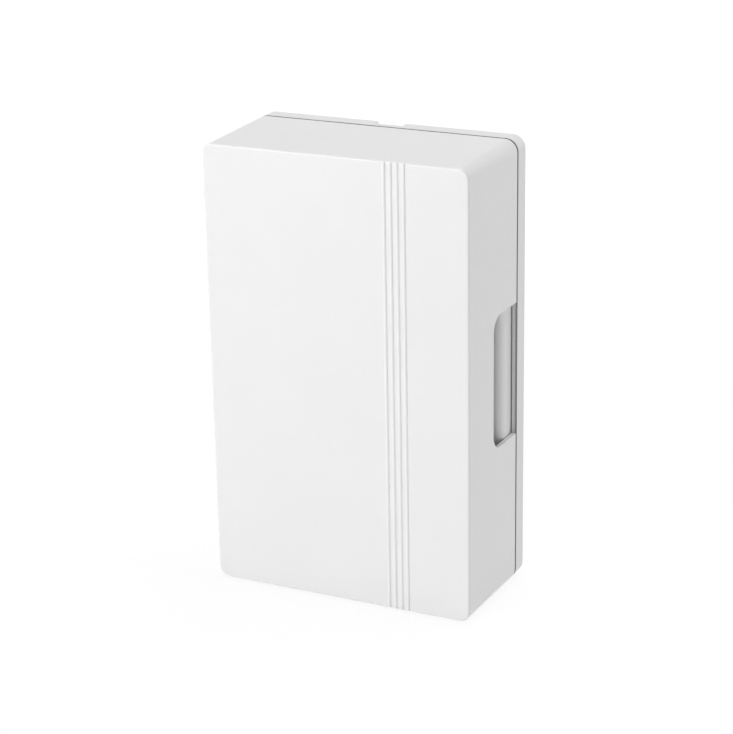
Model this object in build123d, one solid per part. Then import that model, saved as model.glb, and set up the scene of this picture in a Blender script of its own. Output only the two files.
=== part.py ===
from build123d import *
import os
from math import atan, cos, degrees, radians, sin, sqrt, tan

# A wired two-tone door chime: a white cover snapped over a shallow base tray on the wall.
# The origin is the middle of the face that lies on the wall. X runs to the right as seen
# from the room, Y runs into the wall and Z runs up. A depth is measured from the wall
# towards the room, so a point at some depth has that much negative Y.

# Case, as its outside is seen
case_width = 115.0
case_height = 187.0
case_depth = 54.2
outline_radius = 5.25
rim_depth = 7.4
seam_gap = 1.0
cover_wall = 1.9
front_wall = 2.2
cover_lean = 0.9
front_edge_cut = 0.7
overrun = 1.0

# Beads that run up the cover's front
bead_count = 4
bead_pitch = 2.75
bead_row_across = 25.85
bead_width = 1.5
bead_rise = 0.4

# Sound slots in the cover's sides
slot_height = 55.7
slot_middle_height = -0.3
slot_front_depth = 30.6
slot_corner_radius = 6.5

# Base tray
base_floor = 2.4
lip_clearance = 0.3
side_lip_thickness = 1.4
side_lip_width = 16.0
side_lip_depth = 12.0
side_lip_height = 60.0
floor_rib_thickness = 1.4
floor_rib_rise = 2.0
floor_rib_across = 26.0
upper_cross_rib_height = 30.0
lower_cross_rib_height = -25.5

# Notch in the rim's top edge, where a surface cable comes in
notch_width = 10.8
notch_bevel = 1.0
notch_depth = 3.9
notch_reach = 6.0

# Snap catches that hold the cover on the tray
catch_across = 32.0
catch_width = 8.0
catch_depth = 12.0
catch_foot = 3.6
catch_crest = 1.2
catch_bite = 0.7
catch_clearance = 0.3
snap_tab_thickness = 1.6
snap_tab_margin = 2.6
snap_tab_end = 1.9

# Sound baffles behind the slots
baffle_thickness = 1.6
baffle_set_in = 0.8
baffle_run = 13.8
baffle_lean = 3.0
baffle_radius = 4.0
baffle_turn = 78.0
baffle_overlap = 3.6

# Tone bars and what hangs them
bar_side_room = 16.3
bar_width = 32.0
bar_thickness = 2.5
low_bar_end_room = 14.65
high_bar_end_room = 23.25
still_point_share = 0.2242
bush_flange_thickness = 1.2
bush_flange_radius = 6.0
bush_neck_radius = 3.95
bush_end_rise = 0.3
bush_fit = 0.05
bush_bore_clearance = 0.15
peg_radius = 2.0
peg_end_length = 1.6
clip_thickness = 0.8
clip_width = 9.6
clip_corner_cut = 1.6
clip_bore_clearance = 0.03
clip_slot_width = 1.0
clip_slot_reach = 1.3
hanger_thickness = 2.6
hanger_foot_half_width = 9.0
hanger_head_half_width = 6.4
hanger_head_rise = 6.0
hanger_corner_cut = 2.4
hanger_gusset_thickness = 1.8
hanger_gusset_foot = 9.0
hanger_gusset_drop = 3.0

# Solenoid
axis_depth = 25.0
core_radius = 4.0
core_length = 30.0
core_offset = -3.5
running_clearance = 0.08
bobbin_length = 38.0
bobbin_flange = 1.5
bobbin_barrel_wall = 1.2
bobbin_flange_margin = 1.6
bobbin_corner_cut = 2.5
winding_radius = 11.2
winding_clearance = 0.05
yoke_sheet = 1.5
yoke_width = 22.0
yoke_bend_radius = 1.0
yoke_clearance = 0.15
yoke_hole_clearance = 0.5
yoke_ear_width = 12.0
yoke_ear_end = 5.0
yoke_ear_corner_cut = 2.5
yoke_ear_hole_radius = 1.65
yoke_screw_height = 17.5
stake_width = 8.0
stake_rise = 0.4
stake_clearance = 0.1
yoke_plate_margin = 1.6
yoke_plate_corner_cut = 1.5

# Plunger's strikers, spring and travel
pull_travel = 6.0
throw_travel = 4.0
strike_clearance = 0.3
tip_radius = 2.5
collar_radius = 6.0
collar_thickness = 1.2
tip_nose_length = 2.45
spring_wire_radius = 0.25
spring_wire_sides = 6
spring_mean_radius = 5.15
spring_turns = 5
spring_seat_gap = 0.05

# Screws through the yoke's ears
screw_shank_radius = 1.2
screw_shank_length = 9.5
screw_head_radius = 2.8
screw_head_height = 1.9
screw_recess_width = 0.7
screw_recess_depth = 1.0
screw_recess_share = 0.7
pilot_clearance = 0.05
pilot_floor = 1.0
boss_wall = 2.3

# Terminal block
terminal_end_room = 33.5
terminal_seat_depth = 6.0
terminal_seat_wall = 1.5
terminal_width = 25.0
terminal_length = 17.0
terminal_slab = 5.0
terminal_face_depth = 19.6
terminal_pole_across = 7.6
terminal_pole_width = 9.4
terminal_pole_length = 14.0
terminal_corner_cut = 1.0
terminal_clip_clearance = 0.1
terminal_clip_thickness = 1.4
terminal_clip_width = 5.0
terminal_hook_reach = 0.8
terminal_hook_rise = 1.4
cage_depth = 11.2
cage_width = 6.0
cage_length = 11.0
cage_opening = 3.8
cage_clearance = 0.1
grub_screw_radius = 1.9
grub_screw_length = 5.2
grub_screw_clearance = 0.05
grub_screw_tip_gap = 0.1
screw_well_clearance = 0.25

# Coil leads and the posts that guide them
lead_radius = 0.8
lead_sides = 6
lead_core_radius = 0.45
lead_core_length = 5.0
lead_bore_clearance = 0.3
lead_start_across = 15.2
lead_start_gap = 0.05
lead_bend_height_shares = (0.25, 0.62)
lead_end_gap = 0.2
lead_bend_share = 0.45
guide_gap = 5.0
guide_width = 5.2
guide_thickness = 2.0
guide_clearance = 0.3
guide_horn = 1.4

# Wall fixing and the cable's way in
wall_slot_width = 4.5
wall_slot_length = 9.0
wall_slot_spacing = 100.0
wall_slot_middle_height = 14.0
wall_pad_margin = 3.6
wall_pad_rise = 1.2
cable_hole_radius = 5.0
cable_hole_end_room = 13.5
cable_pad_margin = 2.0
cable_pad_rise = 2.0

# Angles
quarter_turn = 90.0
half_turn = 180.0
full_turn = 360.0

# What follows from the sizes above
seam_depth = rim_depth + seam_gap
rim_wall = cover_wall + lip_clearance
lean_slope = cover_lean / (case_depth - seam_depth)
lean_angle = degrees(atan(lean_slope))
half_width = case_width / 2
half_height = case_height / 2
bar_face = half_width - bar_side_room
low_bar_length = case_height - 2 * low_bar_end_room
high_bar_length = case_height - 2 * high_bar_end_room
hanger_face = bar_face - bush_flange_thickness
bush_end = bar_face + bar_thickness + bush_end_rise
clip_end = bush_end + clip_thickness
flange_half = winding_radius + bobbin_flange_margin
yoke_back_face = axis_depth - flange_half - yoke_clearance
yoke_seat_depth = yoke_back_face - yoke_sheet
yoke_front_face = axis_depth + flange_half + yoke_clearance
yoke_inside = bobbin_length / 2 + yoke_clearance
yoke_outside = yoke_inside + yoke_sheet
core_left = core_offset - core_length / 2
core_right = core_offset + core_length / 2
left_strike = -(bar_face - throw_travel - strike_clearance)
right_strike = bar_face - pull_travel - strike_clearance
collar_face = left_strike + tip_nose_length + collar_thickness
spring_length = -yoke_outside - collar_face
pilot_radius = screw_shank_radius + pilot_clearance
terminal_height = terminal_end_room - half_height
terminal_top = terminal_height + terminal_length / 2
terminal_slab_front = terminal_seat_depth + terminal_slab
cable_hole_height = cable_hole_end_room - half_height
guide_height = terminal_top + guide_gap


def wall_plane(depth):
    """A plane at a depth, seen from the room: X across, Z up, and out is towards the room."""
    return Plane(origin=(0, -depth, 0), x_dir=(1, 0, 0), z_dir=(0, -1, 0))


def side_plane(across):
    """An upright plane square to X: its first direction is depth and its second is up."""
    return Plane(origin=(across, 0, 0), x_dir=(0, -1, 0), z_dir=(-1, 0, 0))


def level_plane(height):
    """A level plane: X across and Y into the wall."""
    return Plane.XY.offset(height)


def block(left, right, back, front, low, high):
    """A box between two sides, two depths and two heights."""
    size = Box(right - left, front - back, high - low)
    return Pos((left + right) / 2, -(back + front) / 2, (low + high) / 2) * size


def rod_across(radius, start, end, depth, height):
    """A cylinder along X."""
    turned = Rot(0, quarter_turn, 0) * Cylinder(radius, end - start)
    return Pos((start + end) / 2, -depth, height) * turned


def rod_outward(radius, back, front, across, height):
    """A cylinder from one depth to a greater one."""
    turned = Rot(quarter_turn, 0, 0) * Cylinder(radius, front - back)
    return Pos(across, -(back + front) / 2, height) * turned


def both_sides(piece):
    """A piece and its mirror image on the other side of the box."""
    return piece + mirror(piece, about=Plane.YZ)


def cut_rectangle(width, height, corner_cut):
    """A rectangle with its four corners cut off."""
    shape = Rectangle(width, height)
    return chamfer(shape.vertices(), corner_cut)


def case_outline(inset):
    """The case's outside outline, drawn in by less than its corner radius."""
    return RectangleRounded(case_width - 2 * inset, case_height - 2 * inset, outline_radius - inset)


def room_outline(wall):
    """The outline of the room inside a wall: its corners are cut so that the wall is as thick there."""
    corner_cut = (2 - sqrt(2)) * (outline_radius - wall)
    return cut_rectangle(case_width - 2 * wall, case_height - 2 * wall, corner_cut)


def inner_wall_at(depth, half_size):
    """Where the cover's leaning inner wall stands at a depth."""
    return half_size - cover_wall - (depth - seam_depth) * lean_slope


def still_point(length):
    """Height of a bar's upper still point, where it can be held without stopping its note."""
    return length / 2 - length * still_point_share


def cover_form(front, edge_cut):
    """The cover's leaning outside from the seam to a depth, with its front edge cut."""
    form = extrude(wall_plane(seam_depth) * case_outline(0), front - seam_depth, taper=lean_angle)
    return chamfer(form.faces().sort_by(Axis.Y)[0].edges(), edge_cut)


def cover_room():
    """The leaning room inside the cover, open at the seam."""
    back = seam_depth - overrun
    outline = room_outline(cover_wall - overrun * lean_slope)
    return extrude(wall_plane(back) * outline, case_depth - front_wall - back, taper=lean_angle)


def bead(across):
    """One fine raised bead, as tall as the case."""
    back = case_depth - front_wall / 2
    left = across - bead_width / 2
    right = across + bead_width / 2
    crest = ThreePointArc((left, -case_depth), (across, -case_depth - bead_rise), (right, -case_depth))
    root = Polyline((right, -case_depth), (right, -back), (left, -back), (left, -case_depth))
    return extrude(level_plane(-half_height) * make_face(crest + root), case_height)


def bead_row():
    """The row of beads, each as tall as the case."""
    first = bead_row_across - (bead_count - 1) * bead_pitch / 2
    row = bead(first)
    for number in range(1, bead_count):
        row += bead(first + number * bead_pitch)
    return row


def cover_outside():
    """The cover's outside: a flat front with beads, whose ends die into its cut front edge."""
    side = half_width + overrun
    top = half_height + overrun
    flat_front = block(-side, side, seam_depth - overrun, case_depth, -top, top)
    return cover_form(case_depth + bead_rise, front_edge_cut + bead_rise) & (flat_front + bead_row())


def sound_slots():
    """The cut through both sides of the cover, open at its back edge."""
    middle = (seam_depth - overrun + slot_front_depth) / 2
    length = slot_front_depth - seam_depth + overrun
    shape = Pos(middle, slot_middle_height) * Rectangle(length, slot_height)
    front_corners = shape.vertices().sort_by(Axis.X)[-2:]
    shape = fillet(front_corners, slot_corner_radius)
    reach = half_width + overrun
    return extrude(side_plane(reach) * shape, 2 * reach)


def snap_catch():
    """The wedge inside the cover's top wall that bites into a window in the base's tab."""
    wall = inner_wall_at(catch_depth, half_height) + cover_wall / 2
    crest = half_height - rim_wall - catch_bite
    outline = Polyline(
        (catch_depth - catch_foot / 2, wall),
        (catch_depth + catch_foot / 2, wall),
        (catch_depth + catch_crest / 2, crest),
        (catch_depth - catch_crest / 2, crest),
        close=True,
    )
    right_end = side_plane(catch_across + catch_width / 2)
    return extrude(right_end * make_face(outline), catch_width)


def cover():
    """The leaning shell with its beads, sound slots and four snap catches."""
    shell = cover_outside() - cover_room() - sound_slots()
    catches = both_sides(snap_catch())
    return shell + catches + mirror(catches, about=Plane.XY)


def snap_tab():
    """An upright tab inside the rim's top wall, with a window for the cover's catch."""
    outer = half_height - rim_wall
    low = outer - snap_tab_thickness
    window_back = catch_depth - catch_foot / 2 - catch_clearance
    window_front = catch_depth + catch_foot / 2 + catch_clearance
    opening = catch_width / 2 + catch_clearance
    half = opening + snap_tab_margin
    tab = block(catch_across - half, catch_across + half, 0, window_front + snap_tab_end, low, outer)
    outer_corners = tab.edges().filter_by(Axis.Z).group_by(Axis.Y)[0]
    tab = chamfer(outer_corners, snap_tab_end)
    left = catch_across - opening
    right = catch_across + opening
    return tab - block(left, right, window_back, window_front, low - overrun, outer + overrun)


def side_lip():
    """A plain lip inside the rim's side wall that locates the cover."""
    outer = half_width - rim_wall
    low = side_lip_height - side_lip_width / 2
    high = side_lip_height + side_lip_width / 2
    lip = block(outer - side_lip_thickness, outer, 0, side_lip_depth, low, high)
    return chamfer(lip.edges().filter_by(Axis.X).group_by(Axis.Y)[0], side_lip_thickness)


def gusset(foot_start, foot, top_depth, thickness, height):
    """A three-cornered rib that props an upright wall on its left side from the floor."""
    sink = thickness / 2
    outline = Polyline(
        (foot_start + sink, 0),
        (foot_start - foot, 0),
        (foot_start - foot, -base_floor),
        (foot_start, -top_depth),
        (foot_start + sink, -top_depth),
        close=True,
    )
    return extrude(level_plane(height - thickness / 2) * make_face(outline), thickness)


def baffle():
    """The wall behind the right slot: it leans out from its foot, then bends sharply inwards."""
    foot = half_width - rim_wall - baffle_set_in - baffle_thickness / 2
    upright = PolarLine((foot, 0), baffle_run, baffle_lean - quarter_turn)
    bend = JernArc(upright @ 1, upright % 1, baffle_radius, -baffle_turn - baffle_lean)
    section = trace(upright + bend, baffle_thickness)
    low = slot_middle_height - slot_height / 2 - baffle_overlap
    return extrude(level_plane(low) * section, slot_height + 2 * baffle_overlap)


def hanger(height):
    """A right-hand post, narrower at its head, with the peg that carries one end of a tone bar."""
    inner = hanger_face - hanger_thickness
    front = axis_depth + hanger_head_rise
    head = hanger_head_half_width
    outline = Polyline(
        (0, -hanger_foot_half_width),
        (0, hanger_foot_half_width),
        (front - hanger_corner_cut, head),
        (front, head - hanger_corner_cut),
        (front, hanger_corner_cut - head),
        (front - hanger_corner_cut, -head),
        close=True,
    )
    post = extrude(side_plane(hanger_face) * Pos(0, height) * make_face(outline), hanger_thickness)
    top_depth = axis_depth - hanger_gusset_drop
    post += gusset(inner, hanger_gusset_foot, top_depth, hanger_gusset_thickness, height)
    return post + rod_across(peg_radius, inner, clip_end + peg_end_length, axis_depth, height)


def on_all_pegs(make_piece):
    """Four of a right-hand piece: two for the high bar and, mirrored, two for the low bar."""
    high_point = still_point(high_bar_length)
    low_point = still_point(low_bar_length)
    right = make_piece(high_point) + make_piece(-high_point)
    left = make_piece(low_point) + make_piece(-low_point)
    return right + mirror(left, about=Plane.YZ)


def pilot_hole(front, across, height):
    """A blind hole for a screw, from its mouth back towards the floor."""
    return rod_outward(pilot_radius, pilot_floor, front + overrun, across, height)


def yoke_bosses():
    """Two round bosses under the yoke's ears."""
    radius = pilot_radius + boss_wall
    lower = rod_outward(radius, 0, yoke_seat_depth, 0, -yoke_screw_height)
    return lower + rod_outward(radius, 0, yoke_seat_depth, 0, yoke_screw_height)


def terminal_seat():
    """A low ring wall under the terminal block, with a clip at each end that hooks over it."""
    low = terminal_height - terminal_length / 2
    high = terminal_height + terminal_length / 2
    half = terminal_width / 2
    wall = terminal_seat_wall
    front = terminal_seat_depth + overrun
    seat = block(-half, half, 0, terminal_seat_depth, low, high)
    seat -= block(-half + wall, half - wall, base_floor, front, low + wall, high - wall)
    inner = high + terminal_clip_clearance
    outer = inner + terminal_clip_thickness
    hook_back = terminal_slab_front + terminal_clip_clearance
    hook_front = hook_back + terminal_hook_rise
    outline = Polyline(
        (0, inner),
        (0, outer),
        (hook_front, outer),
        (hook_front, inner),
        (hook_back, inner - terminal_hook_reach),
        (hook_back, inner),
        close=True,
    )
    clip = extrude(side_plane(terminal_clip_width / 2) * make_face(outline), terminal_clip_width)
    return seat + clip + mirror(clip, about=level_plane(terminal_height))


def lead_guide():
    """A post with a notch that holds the right coil lead."""
    across = terminal_pole_across
    notch_half = lead_radius + guide_clearance
    front = cage_depth + guide_horn
    low = guide_height - guide_thickness / 2
    high = guide_height + guide_thickness / 2
    post = block(across - guide_width / 2, across + guide_width / 2, 0, front, low, high)
    notch_back = cage_depth - notch_half
    left = across - notch_half
    right = across + notch_half
    return post - block(left, right, notch_back, front + overrun, low - overrun, high + overrun)


def floor_ribs():
    """The low ribs that stiffen the floor."""
    top = base_floor + floor_rib_rise
    half = floor_rib_thickness / 2
    end = half_height - rim_wall
    ribs = both_sides(block(floor_rib_across - half, floor_rib_across + half, 0, top, -end, end))
    for height in (upper_cross_rib_height, lower_cross_rib_height):
        ribs += block(-floor_rib_across, floor_rib_across, 0, top, height - half, height + half)
    return ribs


def wall_slot_heights():
    """Heights of the two slots for the wall screws."""
    return [wall_slot_middle_height + side * wall_slot_spacing / 2 for side in (-1, 1)]


def floor_pads():
    """The raised floor round the two wall slots and round the cable's hole."""
    half = wall_slot_width / 2 + wall_pad_margin
    reach = wall_slot_length / 2 + wall_pad_margin
    front = base_floor + wall_pad_rise
    cable_half = cable_hole_radius + cable_pad_margin
    cable_front = base_floor + cable_pad_rise
    low = cable_hole_height - cable_half
    pads = block(-cable_half, cable_half, 0, cable_front, low, cable_hole_height + cable_half)
    for height in wall_slot_heights():
        pads += block(-half, half, 0, front, height - reach, height + reach)
    return pads


def wall_slot(height):
    """The round-ended cut for one wall screw, through floor and pad."""
    shape = SlotOverall(wall_slot_length, wall_slot_width, rotation=quarter_turn)
    length = base_floor + wall_pad_rise + 2 * overrun
    return extrude(wall_plane(-overrun) * Pos(0, height) * shape, length)


def cable_notch():
    """The cut in the rim's top edge against the wall, with its outer corners bevelled."""
    half = notch_width / 2
    low = half_height - notch_reach
    outline = Polyline(
        (-half, low),
        (half, low),
        (half, half_height - notch_bevel),
        (half + notch_bevel + overrun, half_height + overrun),
        (-half - notch_bevel - overrun, half_height + overrun),
        (-half, half_height - notch_bevel),
        close=True,
    )
    return extrude(wall_plane(-overrun) * make_face(outline), notch_depth + overrun)


def base_tray():
    """The tray: floor and rim, and everything that stands up from the floor."""
    tray = extrude(wall_plane(0) * case_outline(0), rim_depth)
    tray -= extrude(wall_plane(base_floor) * room_outline(rim_wall), rim_depth)
    inside = extrude(wall_plane(0) * room_outline(rim_wall / 2), case_depth)
    standing = floor_ribs() + on_all_pegs(hanger) + yoke_bosses() + terminal_seat() + floor_pads()
    standing += both_sides(baffle()) + both_sides(lead_guide())
    fastenings = both_sides(side_lip()) + both_sides(snap_tab())
    standing += fastenings + mirror(fastenings, about=Plane.XY)
    tray += standing & inside
    for side in (-1, 1):
        tray -= pilot_hole(yoke_seat_depth, 0, side * yoke_screw_height)
    for height in wall_slot_heights():
        tray -= wall_slot(height)
    cable_front = base_floor + cable_pad_rise + overrun
    tray -= rod_outward(cable_hole_radius, -overrun, cable_front, 0, cable_hole_height)
    return tray - cable_notch()


def tone_bar(length, side):
    """A flat steel bar on edge, with a hole at each still point."""
    inner = side * bar_face
    outer = side * (bar_face + bar_thickness)
    left = min(inner, outer)
    right = max(inner, outer)
    shape = Rectangle(bar_width, length)
    bar = extrude(side_plane(right) * Pos(axis_depth, 0) * shape, bar_thickness)
    radius = bush_neck_radius + bush_fit
    for point in (-still_point(length), still_point(length)):
        bar -= rod_across(radius, left - overrun, right + overrun, axis_depth, point)
    return bar


def turned_piece(points, height):
    """A ring from places along X and radii about a line along X at the bars' middle."""
    profile = make_face(Polyline(*points, close=True))
    return Pos(0, -axis_depth, height) * revolve(profile, Axis.X)


def bar_bush(height):
    """A rubber bush: its flange lies on the post and its neck fills the right bar's hole."""
    bore = peg_radius + bush_bore_clearance
    points = [
        (hanger_face, bore),
        (hanger_face, bush_flange_radius),
        (bar_face, bush_flange_radius),
        (bar_face, bush_neck_radius),
        (bush_end, bush_neck_radius),
        (bush_end, bore),
    ]
    return turned_piece(points, height)


def bar_clip(height):
    """A square push-on washer on the right peg, slotted each side of its bore."""
    shape = cut_rectangle(clip_width, clip_width, clip_corner_cut)
    bore = peg_radius + clip_bore_clearance
    shape -= Circle(bore)
    shape -= Rectangle(clip_slot_width, 2 * (bore + clip_slot_reach))
    return extrude(side_plane(clip_end) * Pos(axis_depth, height) * shape, clip_thickness)


def solenoid_yoke():
    """A bent steel strap round the bobbin, with two ears and two staking tabs."""
    outer = yoke_outside
    path = Polyline(
        (-outer, -yoke_front_face),
        (-outer, -yoke_seat_depth),
        (outer, -yoke_seat_depth),
        (outer, -yoke_front_face),
        (yoke_inside, -yoke_front_face),
        (yoke_inside, -yoke_back_face),
        (-yoke_inside, -yoke_back_face),
        (-yoke_inside, -yoke_front_face),
        close=True,
    )
    strap = extrude(level_plane(-yoke_width / 2) * make_face(path), yoke_width)
    bends = strap.edges().filter_by(Axis.Z).group_by(Axis.Y)[-1]
    strap = fillet(bends, yoke_bend_radius + yoke_sheet)
    ear_reach = 2 * (yoke_screw_height + yoke_ear_end)
    ears = cut_rectangle(yoke_ear_width, ear_reach, yoke_ear_corner_cut)
    strap += extrude(wall_plane(yoke_seat_depth) * ears, yoke_sheet)
    for side in (-1, 1):
        back = yoke_seat_depth - overrun
        front = yoke_back_face + overrun
        strap -= rod_outward(yoke_ear_hole_radius, back, front, 0, side * yoke_screw_height)
    stake_front = yoke_front_face + yoke_sheet + stake_rise
    stake_back = yoke_front_face - overrun
    stake = block(yoke_inside, outer, stake_back, stake_front, -stake_width / 2, stake_width / 2)
    strap += both_sides(stake)
    hole_radius = core_radius + yoke_hole_clearance
    return strap - rod_across(hole_radius, -outer - overrun, outer + overrun, axis_depth, 0)


def yoke_plate():
    """The flat plate that closes the yoke's open side, slotted for the staking tabs."""
    shape = cut_rectangle(2 * (yoke_outside + yoke_plate_margin), yoke_width, yoke_plate_corner_cut)
    slot = Rectangle(yoke_sheet + 2 * stake_clearance, stake_width + 2 * stake_clearance)
    slot_across = yoke_inside + yoke_sheet / 2
    shape -= Pos(slot_across, 0) * slot
    shape -= Pos(-slot_across, 0) * slot
    return extrude(wall_plane(yoke_front_face) * shape, yoke_sheet)


def coil_bobbin():
    """A thin barrel between two square flanges with their corners cut off."""
    half = bobbin_length / 2
    bore = core_radius + running_clearance
    barrel = rod_across(bore + bobbin_barrel_wall, -half, half, axis_depth, 0)
    shape = cut_rectangle(2 * flange_half, 2 * flange_half, bobbin_corner_cut)
    flange = extrude(side_plane(half) * Pos(axis_depth, 0) * shape, bobbin_flange)
    bobbin = barrel + both_sides(flange)
    return bobbin - rod_across(bore, -half - overrun, half + overrun, axis_depth, 0)


def coil_winding():
    """The solid body of taped wire between the bobbin's flanges."""
    end = bobbin_length / 2 - bobbin_flange - winding_clearance
    inner_radius = core_radius + running_clearance + bobbin_barrel_wall + winding_clearance
    points = [
        (-end, inner_radius),
        (-end, winding_radius),
        (end, winding_radius),
        (end, inner_radius),
    ]
    return turned_piece(points, 0)


def plunger_core():
    """The steel core that the coil pulls."""
    return rod_across(core_radius, core_left, core_right, axis_depth, 0)


def striker_tip_left():
    """The left striker: a nylon rod on the core's end, with the collar that the spring pushes on."""
    collar = rod_across(collar_radius, collar_face - collar_thickness, collar_face, axis_depth, 0)
    return rod_across(tip_radius, left_strike, core_left, axis_depth, 0) + collar


def striker_tip_right():
    """The right striker: a plain nylon rod on the core's other end."""
    return rod_across(tip_radius, core_right, right_strike, axis_depth, 0)


def spring_point(angle):
    """A point of the spring's helix at an angle along it, and its direction there."""
    seat = spring_wire_radius + spring_seat_gap
    start = -yoke_outside - seat
    advance = -(spring_length - 2 * seat) / (spring_turns * radians(full_turn))
    point = Vector(
        start + advance * angle,
        -axis_depth + spring_mean_radius * cos(angle),
        spring_mean_radius * sin(angle),
    )
    heading = Vector(
        advance,
        -spring_mean_radius * sin(angle),
        spring_mean_radius * cos(angle),
    )
    return point, heading.normalized()


def biarc(first, first_heading, last, last_heading):
    """Two arcs that join two points with given directions and meet smoothly between them."""
    chord = last - first
    both = first_heading + last_heading
    spread = 2 * (1 - first_heading.dot(last_heading))
    along = chord.dot(both)
    reach = (sqrt(along * along + spread * chord.dot(chord)) - along) / spread
    meeting = (first + first_heading * reach + last - last_heading * reach) / 2
    first_arc = TangentArc(first, meeting, tangent=first_heading)
    second_arc = TangentArc(last, meeting, tangent=last_heading * -1)
    return [first_arc, Edge(second_arc.wrapped.Reversed())]


def return_spring():
    """One unbroken helical wire between the yoke's left leg and the striker's collar."""
    step = radians(half_turn)
    arcs = []
    for number in range(2 * spring_turns):
        arcs += biarc(*spring_point(number * step), *spring_point((number + 1) * step))
    start, heading = spring_point(0)
    section = RegularPolygon(spring_wire_radius, spring_wire_sides)
    placed = Plane(origin=start, x_dir=(0, 1, 0), z_dir=heading) * section
    return sweep(placed, path=Wire(arcs))


def spring_gap():
    """The least gap between the spring's turns, measured on points of its helix."""
    steps_a_turn = 36
    step = radians(full_turn) / steps_a_turn
    first = spring_point(0)[0]
    later = range(steps_a_turn // 2, 2 * steps_a_turn)
    return min((spring_point(number * step)[0] - first).length for number in later) - 2 * spring_wire_radius


def yoke_screw(height):
    """A screw through one of the yoke's ears, with a cross in its head."""
    head_front = yoke_back_face + screw_head_height
    screw = rod_outward(screw_head_radius, yoke_back_face, head_front, 0, height)
    screw += rod_outward(screw_shank_radius, yoke_back_face - screw_shank_length, yoke_back_face, 0, height)
    arm = Rectangle(2 * screw_head_radius * screw_recess_share, screw_recess_width)
    cross = Pos(0, height) * (arm + Rot(0, 0, quarter_turn) * arm)
    return screw - extrude(wall_plane(head_front - screw_recess_depth) * cross, screw_recess_depth + overrun)


def terminal_body():
    """A slab with two pole housings, hollow for the brass cages."""
    across = terminal_pole_across
    slab_shape = cut_rectangle(terminal_width, terminal_length, terminal_corner_cut)
    slab_shape = Pos(0, terminal_height) * slab_shape
    body = extrude(wall_plane(terminal_seat_depth) * slab_shape, terminal_slab)
    pole_shape = Pos(across, terminal_height) * Rectangle(terminal_pole_width, terminal_pole_length)
    pole = extrude(wall_plane(terminal_seat_depth) * pole_shape, terminal_face_depth - terminal_seat_depth)
    pole = chamfer(pole.faces().sort_by(Axis.Y)[0].edges(), terminal_corner_cut)
    body += both_sides(pole)
    cavity_half = cage_width / 2 + cage_clearance
    low = terminal_height - terminal_length / 2 - overrun
    high = terminal_height + cage_length / 2 + cage_clearance
    back = cage_depth - cavity_half
    front = cage_depth + cavity_half
    cavity = block(across - cavity_half, across + cavity_half, back, front, low, high)
    entry_half = lead_radius + lead_bore_clearance
    entry_back = cage_depth - entry_half
    entry_front = cage_depth + entry_half
    entry_high = terminal_height + terminal_length / 2 + overrun
    cavity += block(
        across - entry_half, across + entry_half, entry_back, entry_front, terminal_height, entry_high
    )
    well_radius = grub_screw_radius + screw_well_clearance
    cavity += rod_outward(well_radius, cage_depth, terminal_face_depth + overrun, across, terminal_height)
    return body - both_sides(cavity)


def terminal_cage():
    """A square brass tube that takes a wire from each end, with a hole for its screw."""
    across = terminal_pole_across
    shape = Rectangle(cage_width, cage_width) - Rectangle(cage_opening, cage_opening)
    low = terminal_height - cage_length / 2
    cage = extrude(level_plane(low) * Pos(across, -cage_depth) * shape, cage_length)
    hole_radius = grub_screw_radius + grub_screw_clearance
    front = cage_depth + cage_width / 2 + overrun
    return cage - rod_outward(hole_radius, cage_depth, front, across, terminal_height)


def terminal_screw():
    """A slotted grub screw, driven down onto the lead's bare end."""
    across = terminal_pole_across
    back = cage_depth + lead_core_radius + grub_screw_tip_gap
    front = back + grub_screw_length
    screw = rod_outward(grub_screw_radius, back, front, across, terminal_height)
    half_slot = screw_recess_width / 2
    left = across - grub_screw_radius - overrun
    right = across + grub_screw_radius + overrun
    low = terminal_height - half_slot
    high = terminal_height + half_slot
    return screw - block(left, right, front - screw_recess_depth, front + overrun, low, high)


def lead_route():
    """Corner points of the right lead: down from the coil, back to the base and into its pole."""
    start = -winding_radius - lead_start_gap
    end = terminal_height + cage_length / 2 + lead_end_gap
    first_bend, second_bend = [start + (end - start) * share for share in lead_bend_height_shares]
    return [
        Vector(lead_start_across, -axis_depth, start),
        Vector(lead_start_across, -axis_depth, first_bend),
        Vector(terminal_pole_across, -cage_depth, second_bend),
        Vector(terminal_pole_across, -cage_depth, end),
    ]


def bend_radii(points):
    """The largest radius that each corner's two runs allow."""
    radii = []
    for before, corner, after in zip(points, points[1:], points[2:]):
        shorter = min((corner - before).length, (after - corner).length)
        turn = (corner - before).get_angle(after - corner)
        radii.append(lead_bend_share * shorter / tan(radians(turn) / 2))
    return radii


def coil_lead():
    """The right insulated lead, with its bare end in the brass cage."""
    points = lead_route()
    path = FilletPolyline(*points, radius=bend_radii(points))
    section = RegularPolygon(lead_radius, lead_sides)
    lead = sweep(Plane(origin=points[0], z_dir=points[1] - points[0]) * section, path=path)
    end = points[-1]
    wire = RegularPolygon(lead_core_radius, lead_sides)
    return lead + extrude(level_plane(end.Z - lead_core_length) * Pos(end.X, end.Y) * wire, lead_core_length)


def report_routes():
    """Prints the lead's length, bends and volume, and the spring's gap to itself."""
    points = lead_route()
    radii = bend_radii(points)
    path = FilletPolyline(*points, radius=radii)
    tube_volume = RegularPolygon(lead_radius, lead_sides).area * path.length
    wire_volume = RegularPolygon(lead_core_radius, lead_sides).area * lead_core_length
    share = (coil_lead().volume - wire_volume) / tube_volume
    print("lead length", round(path.length, 2), "bend radii", [round(r, 2) for r in radii])
    print("lead volume over section times length", round(share, 4))
    print("spring's least gap to itself", round(spring_gap(), 3))


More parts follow.
